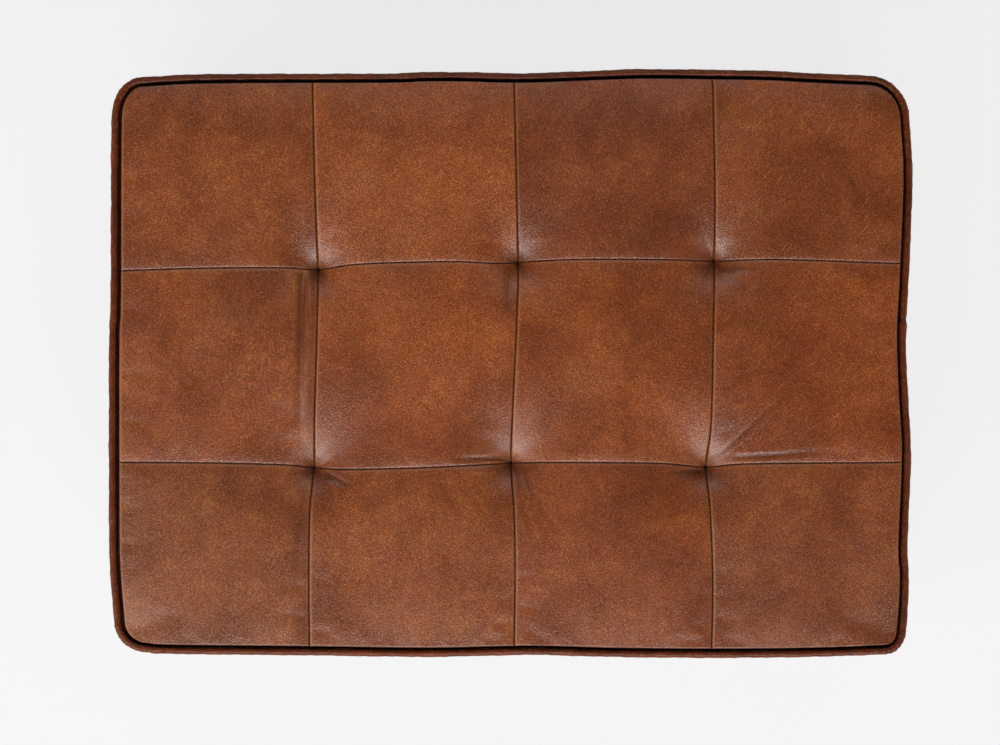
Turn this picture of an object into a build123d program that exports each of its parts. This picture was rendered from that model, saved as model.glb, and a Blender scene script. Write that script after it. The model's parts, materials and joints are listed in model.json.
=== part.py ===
from build123d import *
import os

# Upholstered leather box pouf: a biscuit-tufted top of twelve squares over a foam-clad wooden box.
# Millimetres, +Z up, origin on the floor under the middle of the pouf. +X runs along the long side,
# -Y is the front. Every piece is a separate solid, written to parts/NODE.step.

# ---- driving dimensions ----
LENGTH = 800.0              # over the welt, along X
DEPTH = 583.0               # over the welt, along Y
LEATHER_T = 1.6
WELT_D = 8.0                # sewn welt, leather sleeve round a cord
WELT_CORD_D = 4.4
CORNER_R = 27.0             # outer face of the side leather, seen in plan

GLIDE_D = 40.0
GLIDE_H = 12.0
GLIDE_RECESS = (5.0, 12.0)  # depth and diameter of the screw head's recess
GLIDE_INSET = 58.0          # glide centre to the side leather's outer face
DUST_COVER_T = 0.8
DUST_COVER_INSET = 14.0

BOARD_T = 4.0               # hardboard that closes the box's sides
SIDE_FOAM_T = 12.0
POST = 45.0                 # square corner posts
RAIL_T = 22.0
TOP_RAIL_H = 60.0
BOTTOM_RAIL_H = 45.0
BEARER_H = 45.0
BEARER_X = (-95.0, 105.0)
DECK_T = 12.0
DECK_TOP_Z = 304.0
FIRM_FOAM_H = 70.0
FLANGE_W = 46.0             # side leather turned under the box
CORNER_CUT = 110.0          # how far a side panel's 45 degree ends are cut in
FIT = 0.2                   # air left between neighbouring soft pieces

# ---- the tufted top: seam grid from the back edge to the front edge, left to right ----
FIELD_X = LENGTH / 2 - WELT_D - 1.0
FIELD_Y = DEPTH / 2 - WELT_D - 0.5
FIELD_R = CORNER_R - 4.0
BACK_TUFTS = ((-192.0, 95.0), (7.0, 101.0), (204.0, 102.0))
FRONT_TUFTS = ((-196.0, -103.0), (1.0, -100.0), (196.0, -102.0))
BACK_SEAM_X = (-197.0, 4.0, 202.0)
FRONT_SEAM_X = (-200.0, 4.0, 201.0)
LEFT_SEAM_Y = (92.0, -99.0)
RIGHT_SEAM_Y = (99.0, -99.0)
TUFT_Z = 389.0              # leather surface at a tuft
EDGE_Z = 402.0              # leather surface along the welt
INNER_SEAM_RISE = 12.0      # a seam's arch between two tufts
OUTER_SEAM_RISE = 5.0       # a seam's arch between a tuft and the welt
CROWN = 7.0                 # a square's own dome above its four seams
SEAM_GAP = 0.8
WADDING_T = 8.0
CHANNEL_GAP = 4.0           # between neighbouring foam squares
SURFACE_STEPS = 8

TUFT_HOLE_D = 10.0
TWINE_D = 2.4
TOGGLE_D = 24.0
TOGGLE_T = 4.0
KNOT_D = 6.0
KNOT_H = 3.0

# screws: length, shank diameter, head diameter
FRAME_SCREW = (80.0, 4.5, 9.0)
DECK_SCREW = (35.0, 3.5, 7.0)
GLIDE_SCREW = (40.0, 4.5, 9.0)
SCREW_CLEAR = 0.1
# heights of the frame screws above a rail's underside, staggered so that they pass each other
BOTTOM_SCREWS_X = (10.0, 30.0)
BOTTOM_SCREWS_Y = (18.0, 38.0)
TOP_SCREWS_X = (12.0, 42.0)
TOP_SCREWS_Y = (22.0, 52.0)
DECK_SCREWS_LONG = (-280.0, -140.0, 0.0, 140.0, 280.0)
DECK_SCREWS_SHORT = (-150.0, 0.0, 150.0)
BEARER_SCREWS = (-170.0, 0.0, 170.0)

STAPLE_WIRE = 0.7
STAPLE_CROWN = 10.0
STAPLE_LEG = 9.0
STAPLE_CLEAR = 0.05
STAPLE_END = 60.0           # a row's clear run at each corner
LEATHER_STAPLES = (70.0, 26.0)      # spacing, and inset from the side leather's outer face
DUST_STAPLES = (90.0, 20.0)

# ---- levels and outlines that follow from them ----
DUST_Z = GLIDE_H
FLANGE_Z = DUST_Z + DUST_COVER_T
FRAME_Z = FLANGE_Z + LEATHER_T
DECK_Z = DECK_TOP_Z - DECK_T
FIRM_TOP_Z = DECK_TOP_Z + FIT + FIRM_FOAM_H
WELT_Z = EDGE_Z - LEATHER_T - 1.0
SKIN_X = LENGTH / 2 - 5.0
SKIN_Y = DEPTH / 2 - 5.0
SKIN_TOP_Z = WELT_Z - WELT_D / 2 - 0.4
SIDE_BUILD_UP = LEATHER_T + FIT + SIDE_FOAM_T + FIT + BOARD_T
FRAME_X = SKIN_X - SIDE_BUILD_UP
FRAME_Y = SKIN_Y - SIDE_BUILD_UP
TOP_RAIL_Z = DECK_Z - TOP_RAIL_H
TUFTS = BACK_TUFTS + FRONT_TUFTS

UP = (Align.CENTER, Align.CENTER, Align.MIN)


def slab(half_x, half_y, radius, low, high):
    """A flat plate with rounded corners, centred on the origin in plan."""
    outline = RectangleRounded(2 * half_x, 2 * half_y, radius)
    return Pos(0, 0, low) * extrude(outline, high - low)


def block(x_range, y_range, z_range):
    """A box between two limits on each axis."""
    sizes = [high - low for low, high in (x_range, y_range, z_range)]
    return Pos(x_range[0], y_range[0], z_range[0]) * Box(*sizes, align=(Align.MIN,) * 3)


def rod(x, y, low, high, diameter):
    """A vertical cylinder."""
    return Pos(x, y, low) * Cylinder(diameter / 2, high - low, align=UP)


def save(name, shape):
    """Write a node: one solid, or a group of separate solids."""
    solids = list(shape) if isinstance(shape, (list, tuple)) else [shape]
    children = [solid for piece in solids for solid in piece.solids()]
    node = children[0] if len(children) == 1 else Compound(children=children)
    export_step(node, f"parts/{name}.step")


# ---- tufted top ----
def seam_grid():
    """Plan points where seams cross or meet the welt: four rows of five."""
    xs = (-FIELD_X, FIELD_X)
    back = [(xs[0], FIELD_Y), *[(x, FIELD_Y) for x in BACK_SEAM_X], (xs[1], FIELD_Y)]
    second = [(xs[0], LEFT_SEAM_Y[0]), *BACK_TUFTS, (xs[1], RIGHT_SEAM_Y[0])]
    third = [(xs[0], LEFT_SEAM_Y[1]), *FRONT_TUFTS, (xs[1], RIGHT_SEAM_Y[1])]
    front = [(xs[0], -FIELD_Y), *[(x, -FIELD_Y) for x in FRONT_SEAM_X], (xs[1], -FIELD_Y)]
    return [back, second, third, front]


def seam_rise(points):
    """How far a seam arches between its ends, each given by its row and column."""
    inner = [0 < row < 3 and 0 < column < 4 for row, column in points]
    if all(inner):
        return INNER_SEAM_RISE
    if any(inner):
        return OUTER_SEAM_RISE
    return 0.0


def square_surface(row, column, gap, drop):
    """The domed face of one square, shrunk by half the gap and lowered by drop."""
    grid = seam_grid()
    places = ((row, column), (row, column + 1), (row + 1, column), (row + 1, column + 1))
    plan = [grid[r][c] for r, c in places]
    heights = [TUFT_Z if 0 < r < 3 and 0 < c < 4 else EDGE_Z for r, c in places]
    inset = ((1, -1), (-1, -1), (1, 1), (-1, 1))
    plan = [(x + sx * gap / 2, y + sy * gap / 2) for (x, y), (sx, sy) in zip(plan, inset)]
    back_rise = seam_rise(places[:2])
    front_rise = seam_rise(places[2:])
    left_rise = seam_rise(places[::2])
    right_rise = seam_rise(places[1::2])

    def point(u, v):
        weights = ((1 - u) * (1 - v), u * (1 - v), (1 - u) * v, u * v)
        x = sum(weight * corner[0] for weight, corner in zip(weights, plan))
        y = sum(weight * corner[1] for weight, corner in zip(weights, plan))
        z = sum(weight * height for weight, height in zip(weights, heights))
        arch_u = 4 * u * (1 - u)
        arch_v = 4 * v * (1 - v)
        z += arch_u * ((1 - v) * back_rise + v * front_rise)
        z += arch_v * ((1 - u) * left_rise + u * right_rise)
        z += CROWN * (1 - (2 * u - 1) ** 4) * (1 - (2 * v - 1) ** 4)
        return Vector(x, y, z - drop)

    steps = [step / SURFACE_STEPS for step in range(SURFACE_STEPS + 1)]
    return Face.make_surface_from_array_of_points([[point(u, v) for v in steps] for u in steps])


def domed_sheet(row, column, gap, drop, thickness):
    """A square of sheet material, as thick as stated, with its outer corner rounded to the field."""
    surface = square_surface(row, column, gap, drop)
    sheet = Solid.extrude(surface, Vector(0, 0, -thickness))
    if row in (0, 2) and column in (0, 3):
        inset = (gap - SEAM_GAP) / 2
        field = slab(FIELD_X - inset, FIELD_Y - inset, FIELD_R, FIRM_TOP_Z - 100, EDGE_Z + 100)
        sheet = (Part() + sheet) & field
    return sheet


def foam_square(row, column):
    """A square of soft foam that fills the dome from the firm foam up to the wadding."""
    drop = LEATHER_T + WADDING_T + 2 * FIT
    solid = Part() + domed_sheet(row, column, CHANNEL_GAP, drop, EDGE_Z - FIRM_TOP_Z)
    return solid & slab(SKIN_X, SKIN_Y, CORNER_R, FIRM_TOP_Z + FIT, EDGE_Z + 100)


def make_top():
    wadding = []
    foam = []
    for row, row_name in enumerate(("back", "middle", "front")):
        for column in range(4):
            name = f"top_patch_{row_name}_{column + 1}"
            save(name, domed_sheet(row, column, SEAM_GAP, 0.0, LEATHER_T))
            wadding.append(domed_sheet(row, column, CHANNEL_GAP, LEATHER_T + FIT, WADDING_T))
            foam.append(foam_square(row, column))
    save("fibre_wadding", wadding)
    save("soft_foam_squares", foam)
    firm = slab(SKIN_X - LEATHER_T - FIT, SKIN_Y - LEATHER_T - FIT, CORNER_R - LEATHER_T,
                DECK_TOP_Z + FIT, FIRM_TOP_Z)
    save("firm_foam_block", firm - [rod(x, y, DECK_TOP_Z, FIRM_TOP_Z, TUFT_HOLE_D) for x, y in TUFTS])


def welt_ring(diameter):
    """A round bar that follows the pouf's rounded outline at the welt's height."""
    middle = LENGTH / 2 - WELT_D / 2
    outline = RectangleRounded(2 * middle, DEPTH - WELT_D, CORNER_R + 1.0)
    path = (Pos(0, 0, WELT_Z) * outline).wire()
    start = path @ 0
    section = Plane(origin=start, z_dir=path % 0) * Circle(diameter / 2)
    return sweep(section, path=path)


def make_welt():
    save("top_welt_sleeve", welt_ring(WELT_D) - welt_ring(WELT_CORD_D + FIT))
    save("top_welt_cord", welt_ring(WELT_CORD_D))


# ---- side cover ----
def side_wedge(name):
    """The plan area of one side, cut at 45 degrees through the corners."""
    seam = SEAM_GAP / 2
    if name in ("front", "back"):
        outer = -SKIN_Y - seam
        inner = outer + CORNER_CUT
        inner_x = SKIN_X - CORNER_CUT
        corners = ((-SKIN_X, outer), (SKIN_X, outer), (inner_x, inner), (-inner_x, inner))
    else:
        outer = SKIN_X + seam
        inner = outer - CORNER_CUT
        inner_y = SKIN_Y - CORNER_CUT
        corners = ((outer, -SKIN_Y), (outer, SKIN_Y), (inner, inner_y), (inner, -inner_y))
    wedge = extrude(Polygon(*corners, align=None), FRAME_Z + SKIN_TOP_Z)
    return Rot(0, 0, 180) * wedge if name in ("back", "left") else wedge


def make_side_cover(staples):
    skin = slab(SKIN_X, SKIN_Y, CORNER_R, FLANGE_Z, SKIN_TOP_Z)
    hollow = slab(SKIN_X - LEATHER_T, SKIN_Y - LEATHER_T, CORNER_R - LEATHER_T, FRAME_Z, SKIN_TOP_Z + 1)
    opening = slab(SKIN_X - FLANGE_W, SKIN_Y - FLANGE_W, 4.0, FLANGE_Z - 1, FRAME_Z + 1)
    shell = skin - hollow - opening
    for name in ("front", "back", "left", "right"):
        save(f"{name}_leather_panel", (shell & side_wedge(name)) - staples)


def make_side_padding():
    outer_x = SKIN_X - LEATHER_T - FIT
    outer_y = SKIN_Y - LEATHER_T - FIT
    board_x = FRAME_X + BOARD_T
    board_y = FRAME_Y + BOARD_T
    top = DECK_TOP_Z
    ring = slab(outer_x, outer_y, CORNER_R - LEATHER_T, FRAME_Z + FIT, top)
    ring -= block((-board_x - FIT, board_x + FIT), (-board_y - FIT, board_y + FIT), (0, top + 1))
    middle_y = board_y + FIT
    save("front_side_foam", ring & block((-outer_x, outer_x), (-outer_y, -middle_y), (0, top)))
    save("back_side_foam", ring & block((-outer_x, outer_x), (middle_y, outer_y), (0, top)))
    save("left_side_foam", ring & block((-outer_x, -board_x), (-middle_y + FIT, middle_y - FIT), (0, top)))
    save("right_side_foam", ring & block((board_x, outer_x), (-middle_y + FIT, middle_y - FIT), (0, top)))
    height = (FRAME_Z, DECK_TOP_Z)
    save("front_side_board", block((-board_x, board_x), (-board_y, -FRAME_Y), height))
    save("back_side_board", block((-board_x, board_x), (FRAME_Y, board_y), height))
    save("left_side_board", block((-board_x, -FRAME_X), (-FRAME_Y, FRAME_Y), height))
    save("right_side_board", block((FRAME_X, board_x), (-FRAME_Y, FRAME_Y), height))


# ---- fasteners ----
def screw(start, direction, length, diameter, head):
    """A countersunk screw whose head is flush at start."""
    countersink = (head - diameter) / 2
    shank = Cylinder(diameter / 2, length, align=UP)
    cone = Cone(head / 2, diameter / 2, countersink, align=UP)
    return Plane(origin=start, z_dir=direction) * (shank + cone)


def drill(places, length, diameter, head):
    """Screws at the stated places, and the slightly larger holes that they sit in."""
    wide = (length + SCREW_CLEAR, diameter + 2 * SCREW_CLEAR, head + 2 * SCREW_CLEAR)
    screws = [screw(start, direction, length, diameter, head) for start, direction in places]
    holes = [screw(start, direction, *wide) for start, direction in places]
    return screws, holes


def frame_screw_places():
    """Two screws through each post into the end of each rail that it meets."""
    places = []
    along_x = [FRAME_Z + z for z in BOTTOM_SCREWS_X] + [TOP_RAIL_Z + z for z in TOP_SCREWS_X]
    along_y = [FRAME_Z + z for z in BOTTOM_SCREWS_Y] + [TOP_RAIL_Z + z for z in TOP_SCREWS_Y]
    for side_x in (-1, 1):
        for side_y in (-1, 1):
            in_front_rail = side_y * (FRAME_Y - RAIL_T / 2)
            in_side_rail = side_x * (FRAME_X - RAIL_T / 2)
            places += [((side_x * FRAME_X, in_front_rail, z), (-side_x, 0, 0)) for z in along_x]
            places += [((in_side_rail, side_y * FRAME_Y, z), (0, -side_y, 0)) for z in along_y]
    return places


def deck_screw_places():
    """Down through the deck into the top rails and the bearers."""
    edge = RAIL_T / 2
    plan = [(x, side * (FRAME_Y - edge)) for x in DECK_SCREWS_LONG for side in (-1, 1)]
    plan += [(side * (FRAME_X - edge), y) for y in DECK_SCREWS_SHORT for side in (-1, 1)]
    plan += [(x, y) for x in BEARER_X for y in BEARER_SCREWS]
    return [((x, y, DECK_TOP_Z), (0, 0, -1)) for x, y in plan]


def staple(x, y, along_x, crown_z, grow=0.0):
    """A wire staple driven upwards, with its crown's lower face at crown_z."""
    half = STAPLE_CROWN / 2
    wire = STAPLE_WIRE + 2 * grow
    crown = Pos(0, 0, -grow) * Box(2 * half + 2 * grow, wire, wire, align=UP)
    leg = Box(wire, wire, STAPLE_LEG + grow, align=UP)
    body = crown + [Pos(side * (half - STAPLE_WIRE / 2), 0, 0) * leg for side in (-1, 1)]
    return Pos(x, y, crown_z) * Rot(0, 0, 0 if along_x else 90) * body


def staple_row(spacing, inset, crown_z, grow=0.0):
    """Staples at even spacing round the underside, the inset in from the side leather."""
    rows = []
    line_x = SKIN_X - inset
    line_y = SKIN_Y - inset
    count_x = int(2 * (line_x - STAPLE_END) / spacing)
    count_y = int(2 * (line_y - STAPLE_END) / spacing)
    for index in range(count_x + 1):
        x = (index - count_x / 2) * spacing
        rows += [staple(x, side * line_y, True, crown_z, grow) for side in (-1, 1)]
    for index in range(count_y + 1):
        y = (index - count_y / 2) * spacing
        rows += [staple(side * line_x, y, False, crown_z, grow) for side in (-1, 1)]
    return rows


# ---- wooden box ----
def make_box(holes):
    post_x = FRAME_X - POST
    post_y = FRAME_Y - POST
    top = (TOP_RAIL_Z, DECK_Z)
    bottom = (FRAME_Z, FRAME_Z + BOTTOM_RAIL_H)
    for name, level in (("top", top), ("bottom", bottom)):
        for side_name, side in (("front", -1), ("back", 1)):
            y_range = sorted((side * FRAME_Y, side * (FRAME_Y - RAIL_T)))
            save(f"{side_name}_{name}_rail", block((-post_x, post_x), y_range, level) - holes)
        for side_name, side in (("left", -1), ("right", 1)):
            x_range = sorted((side * FRAME_X, side * (FRAME_X - RAIL_T)))
            save(f"{side_name}_{name}_rail", block(x_range, (-post_y, post_y), level) - holes)
    for x_name, side_x in (("left", -1), ("right", 1)):
        for y_name, side_y in (("front", -1), ("back", 1)):
            x_range = sorted((side_x * FRAME_X, side_x * post_x))
            y_range = sorted((side_y * FRAME_Y, side_y * post_y))
            save(f"{y_name}_{x_name}_post", block(x_range, y_range, (FRAME_Z, DECK_Z)) - holes)
    inner_y = FRAME_Y - RAIL_T
    for name, x in zip(("left", "right"), BEARER_X):
        beam = block((x - RAIL_T / 2, x + RAIL_T / 2), (-inner_y, inner_y), (DECK_Z - BEARER_H, DECK_Z))
        save(f"{name}_deck_bearer", beam - holes)
    deck = block((-FRAME_X, FRAME_X), (-FRAME_Y, FRAME_Y), (DECK_Z, DECK_TOP_Z)) - holes
    save("deck_board", deck - [rod(x, y, DECK_Z - 1, DECK_TOP_Z + 1, TUFT_HOLE_D) for x, y in TUFTS])


def make_tufts():
    """Twine from each crossing down to a toggle under the deck."""
    toggle_z = DECK_Z - TOGGLE_T
    twine_top = TUFT_Z - LEATHER_T - 2 * FIT
    twines = []
    toggles = []
    for x, y in TUFTS:
        knot = rod(x, y, toggle_z - FIT - KNOT_H, toggle_z - FIT, KNOT_D)
        twines.append(rod(x, y, toggle_z - FIT - KNOT_H, twine_top, TWINE_D) + knot)
        toggle = rod(x, y, toggle_z, DECK_Z, TOGGLE_D)
        toggles.append(fillet(toggle.edges(), 1.2) - rod(x, y, toggle_z, DECK_Z, TWINE_D + 2 * FIT))
    save("tuft_twines", twines)
    save("tuft_toggles", toggles)


# ---- underside ----
def glide_centres():
    x = SKIN_X - GLIDE_INSET
    y = SKIN_Y - GLIDE_INSET
    return {"front_left": (-x, -y), "front_right": (x, -y), "back_left": (-x, y), "back_right": (x, y)}


def make_underside(screws, screw_holes, staple_holes):
    for name, (x, y) in glide_centres().items():
        glide = rod(x, y, 0, GLIDE_H, GLIDE_D)
        glide = chamfer(glide.edges().group_by(Axis.Z)[0], 2.0)
        glide = fillet(glide.edges().group_by(Axis.Z)[-1], 1.5)
        recess = rod(x, y, -1, *GLIDE_RECESS)
        save(f"{name}_glide", glide - recess - screw_holes)
    cover = slab(SKIN_X - DUST_COVER_INSET, SKIN_Y - DUST_COVER_INSET, 10.0, DUST_Z, FLANGE_Z)
    save("dust_cover", cover - screw_holes - staple_holes)
    save("glide_screws", screws)


def main():
    os.makedirs("parts", exist_ok=True)
    frame_screws, frame_holes = drill(frame_screw_places(), *FRAME_SCREW)
    deck_screws, deck_holes = drill(deck_screw_places(), *DECK_SCREW)
    glide_places = [((x, y, GLIDE_RECESS[0]), (0, 0, 1)) for x, y in glide_centres().values()]
    glide_screws, glide_holes = drill(glide_places, *GLIDE_SCREW)
    leather_row = (*LEATHER_STAPLES, FLANGE_Z)
    dust_row = (*DUST_STAPLES, DUST_Z - STAPLE_WIRE)
    leather_staples = staple_row(*leather_row)
    dust_staples = staple_row(*dust_row)
    leather_slots = staple_row(*leather_row, STAPLE_CLEAR)
    dust_slots = staple_row(*dust_row, STAPLE_CLEAR)
    make_top()
    make_welt()
    make_side_cover(leather_slots + dust_slots)
    make_side_padding()
    make_box(frame_holes + deck_holes + glide_holes + leather_slots + dust_slots)
    make_tufts()
    make_underside(glide_screws, glide_holes, dust_slots)
    save("frame_screws", frame_screws)
    save("deck_screws", deck_screws)
    save("leather_staples", leather_staples)
    save("dust_cover_staples", dust_staples)


main()
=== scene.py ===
"""The looks of a rectangular, biscuit-tufted leather pouf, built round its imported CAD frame.

Metres, +Z up, origin on the floor under the middle. Twelve leather squares are inflated by cloth
simulation between their seams, pulled down at six tufts, and ringed by a leather welt.
"""

import json
import math

import bpy
import numpy as np
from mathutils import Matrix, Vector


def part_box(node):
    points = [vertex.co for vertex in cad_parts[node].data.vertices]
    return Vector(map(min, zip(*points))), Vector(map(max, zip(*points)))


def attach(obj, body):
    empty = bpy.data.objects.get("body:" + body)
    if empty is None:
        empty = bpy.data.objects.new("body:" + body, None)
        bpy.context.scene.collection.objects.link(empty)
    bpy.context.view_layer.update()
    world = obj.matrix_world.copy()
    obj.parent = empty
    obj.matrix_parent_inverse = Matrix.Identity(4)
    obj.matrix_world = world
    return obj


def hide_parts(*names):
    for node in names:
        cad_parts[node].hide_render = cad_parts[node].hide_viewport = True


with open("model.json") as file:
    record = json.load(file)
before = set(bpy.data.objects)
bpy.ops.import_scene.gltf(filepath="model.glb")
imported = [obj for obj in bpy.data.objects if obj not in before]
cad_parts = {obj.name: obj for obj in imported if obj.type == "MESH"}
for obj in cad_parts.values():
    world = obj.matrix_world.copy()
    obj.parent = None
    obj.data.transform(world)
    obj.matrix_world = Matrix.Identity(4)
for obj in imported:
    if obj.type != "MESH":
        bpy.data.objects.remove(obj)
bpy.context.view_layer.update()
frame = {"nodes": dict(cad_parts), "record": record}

MM = 0.001
SEED = 7

# ---- seams of the top, in millimetres, listed from the left or from the back ----
BACK_SEAM = ((-391, 92), (-300, 94.5), (-225, 95), (-192, 93.5), (-150, 98.5), (-60, 101), (-15, 99.5),
             (8, 100.5), (60, 103), (150, 103), (204, 102), (270, 103), (391, 99))
FRONT_SEAM = ((-391, -99), (-300, -99.5), (-225, -101.5), (-196, -104.5), (-160, -106), (-80, -104),
              (1, -100), (60, -99), (150, -100), (196, -104), (240, -100.5), (391, -99))
LEFT_SEAM = ((-197, 283), (-195, 200), (-192, 93.5), (-192, 40), (-195, -57), (-196, -104.5),
             (-199.5, -147), (-200.5, -220), (-200, -283))
MIDDLE_SEAM = ((4, 283), (6, 190), (8, 100.5), (7, 50), (3, -40), (1, -100), (4, -150), (5, -210), (4, -283))
RIGHT_SEAM = ((202, 283), (204, 180), (204, 102), (202.5, 40), (200.5, -57), (196, -104), (199.3, -147),
              (202, -220), (201, -283))
ROW_SEAMS = (BACK_SEAM, FRONT_SEAM)
COLUMN_SEAMS = (LEFT_SEAM, MIDDLE_SEAM, RIGHT_SEAM)
TUFTS = (((-192, 93.5), (8, 100.5), (204, 102)), ((-196, -104.5), (1, -100), (196, -104)))

# ---- outer edge of the welt, in millimetres: one run a side, clockwise from the back left corner ----
OUTLINE = (
    ((-368, 286), (-300, 289), (-130, 289.5), (-85, 291), (-45, 291), (-10, 290), (30, 290.2), (100, 293),
     (140, 294), (250, 292.5), (300, 290), (358, 287.5)),
    ((399.5, 243), (402.5, 185), (399, 88), (396, 28), (398, -32), (401, -92), (397.5, -182), (399, -212),
     (397.5, -250), (396, -268)),
    ((374, -291.5), (300, -294), (200, -295), (100, -294), (20, -292), (-80, -294), (-200, -292.5),
     (-340, -291), (-362, -289.5)),
    ((-396, -258), (-400, -205), (-401, -160), (-401, 20), (-399.5, 60), (-399, 205), (-398.5, 245)),
)

# ---- heights of the top, in metres ----
PLATEAU_Z = 0.4084
DOME = 0.0082
# fall of the leather towards each side, where a negative one is a rise
EDGE_DROPS = {"left": 0.0020, "right": 0.0006, "back": 0.0018, "front": -0.0005}
EDGE_SOFT = 0.0110
CORNER_DROP = 0.0030        # extra drop at the two front corners
CORNER_SOFT = 0.030
FRONT_CORNERS = ((-0.380, -0.274), (0.384, -0.276))
SEAM_DIP = 0.0009
SEAM_SOFT = 0.0060
TUFT_DIP = 0.0170
TUFT_SOFT = 0.031           # reach of a tuft's funnel, longer to the back than to the front by TUFT_LEAN
TUFT_LEAN = 0.22
TUFT_POWER = 1.20           # 1 is a pointed funnel, 2 a round one
TUFT_PULLS = {              # row and column of a tuft: heading in degrees and share of extra reach
    (0, 0): (140, 0.15), (0, 1): (140, 0.15), (1, 0): (50, 0.60), (1, 1): (60, 0.20), (1, 2): (135, 0.20),
}
PIT_DEPTH = 0.0075          # the sharp hole where four squares meet
PIT_RADIUS = 0.0060
ROLLS = (0.0021, 0.0016, 0.0013, 0.0016)    # radius of the edge turned down: left, right, back, front
SEAM_HALF_GAP = 0.00008
SEAM_PULL_SOFT = 0.0015
ALLOWANCE = 0.008           # leather turned down inside a seam
LEATHER_T = 0.0016
WELT_RADIUS = 0.0040
WELT_RIPPLES = ((37, 0.13), (83, 0.12), (149, 0.10), (251, 0.09))   # waves in a lap and their millimetres
CORNER_GATHERS = 470        # folds of the welt's leather in a lap, seen at the corners
LAP = (0.394, 0.041)        # where the sleeve's two ends meet
GROOVE = 0.0021             # dark gap between the welt and the squares
LEFT_EXTRA = 0.0010         # the groove is wider along the left side
FLANGE_DEPTHS = (0.0034, 0.0046)    # the welt's flange, below the welt's middle
WELT_Z = sum(corner.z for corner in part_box("top_welt_sleeve")) / 2

# ---- side cover and underside, in metres ----
SKIN_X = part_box("right_leather_panel")[1].x
SKIN_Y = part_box("back_leather_panel")[1].y
SKIN_R = 0.027
SKIN_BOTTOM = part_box("front_leather_panel")[0].z
SKIN_TOP = WELT_Z - 0.0022
BOTTOM_ROLL = 0.006
FLANGE = 0.044
CORNER_ROLL = 0.0019
SIDE_SWELL = 0.0042
SIDE_WAVE = 0.0011
TOP_RIPPLE = 0.00060
BOTTOM_RIPPLE = 0.00035
DUST_HELD = 0.085           # flat margin of the dust cover, over the turned-in leather
DUST_SOFT = 0.05
DUST_SLACK = 0.0022
STAPLE_SPACING = 0.09
FOAM_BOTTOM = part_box("soft_foam_squares")[0].z
STITCH_PITCH = 0.0036
KNOT_HEIGHT = 0.003
TWIST_PITCH = 0.0075
PLY_RADIUS = 0.00060

# ---- painted shade, painted highlight rims and wear mixed with painted shade along the leather's seams, in metres ----
SEAM_SHADE = 0.0007         # half width of the painted shade line along a seam
RIM = 0.0020                # distance of the painted highlight rim from the seam
RIM_WIDTH = 0.0009
TUFT_SHADE = 0.045
PIT_SHADE = 0.0055
WEAR_AND_SHADE_SOFT = 0.030

# ---- fillings, as depths below the leather's face ----
WADDING_TOP = 0.0019
WADDING_FOOT = 0.0095
FOAM_TOP = 0.0099

# ---- simulation ----
SIM_CELLS = 24
SIM_FRAMES = 20
SIM_CAP = 0.0025            # no point moves further than this
SIM_HOLD = 0.12             # pull back to its place of a point that is not on a seam
CLOTH = {
    "quality": 6, "mass": 0.35, "air_damping": 4.0, "tension_stiffness": 60.0, "compression_stiffness": 60.0,
    "shear_stiffness": 20.0, "bending_stiffness": 3.0, "shrink_min": -0.0008, "vertex_group_mass": "pins",
    "pin_stiffness": 1.0, "use_pressure": True, "uniform_pressure_force": 1.5,
}

# ---- meshes ----
COARSE = 4                  # one underside cell for this many cells of the upper side
SQUARE_ENDS = (0, 0.25, 0.6, 1.0, 1.5, 2.2, 3.2, 4.6, 6.4)
PAD_MARGIN = 6              # grid lines from a square's seam to the edge of its wadding
SQUARE_STEP = 0.0022
SIDE_STEP = 0.0052
WELT_SECTIONS = 1600
WELT_SIDES = 20
THREAD_HALF_LENGTH = 0.0011
THREAD_RADIUS = 0.00026
BAR_PROFILE = ((-1.0, 0.35), (-0.8, 0.85), (-0.3, 1.0), (0.3, 1.0), (0.8, 0.85), (1.0, 0.35))
TUBE_SIDES = 6

# ---- colours, as linear red, green and blue ----
LEATHER_DARK = (0.130, 0.0285, 0.0065)
LEATHER_MID = (0.232, 0.0550, 0.0118)
LEATHER_WORN = (0.385, 0.1150, 0.0215)
# LEATHER_PALE paints the light scratches and also the painted highlight rims
LEATHER_PALE = (0.430, 0.1900, 0.0800)
LEATHER_BLOOM = (0.250, 0.0900, 0.0400)
LEATHER_SPECK = (0.400, 0.1650, 0.0750)
ROW_NAMES = ("back", "middle", "front")
TONES = (
    ((1.02, 1.02, 0.98), (1.20, 1.20, 1.16), (0.90, 0.88, 0.96), (0.97, 0.92, 0.78)),
    ((1.04, 1.02, 0.96), (1.16, 1.08, 0.90), (1.15, 1.08, 0.88), (1.00, 0.88, 0.66)),
    ((0.94, 1.05, 1.20), (1.02, 1.04, 0.98), (0.94, 0.88, 0.82), (0.92, 0.95, 1.02)),
)
STREAKS = {(0, 0): (25, 0.25), (0, 3): (-52, 0.40), (1, 3): (-38, 0.45), (2, 0): (70, 0.18)}
CRACKLES = {(1, 0): ((-0.262, 0.010, 0.414), 0.085)}
SIDE_TONES = ((1.0, 0.98, 0.95), (0.96, 0.93, 0.9), (1.02, 1.0, 0.98), (0.94, 0.92, 0.88))
WELT_TONE = (0.66, 0.48, 0.43)

# ---- sizes of the leather's marks, as noise scales per metre ----
BLOOM_SCALE = 10.0
CLOUD_SCALE = 13.0
BLOTCH_SCALE = 60.0
WRINKLE_SCALE = 70.0
CRACK_SCALE = 150.0
JITTER_SCALE = 380.0
PEBBLE_SCALE = 600.0
SPECK_SCALE = 620.0
PORE_SCALE = 1050.0
FINE_SCALE = 1250.0

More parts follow.
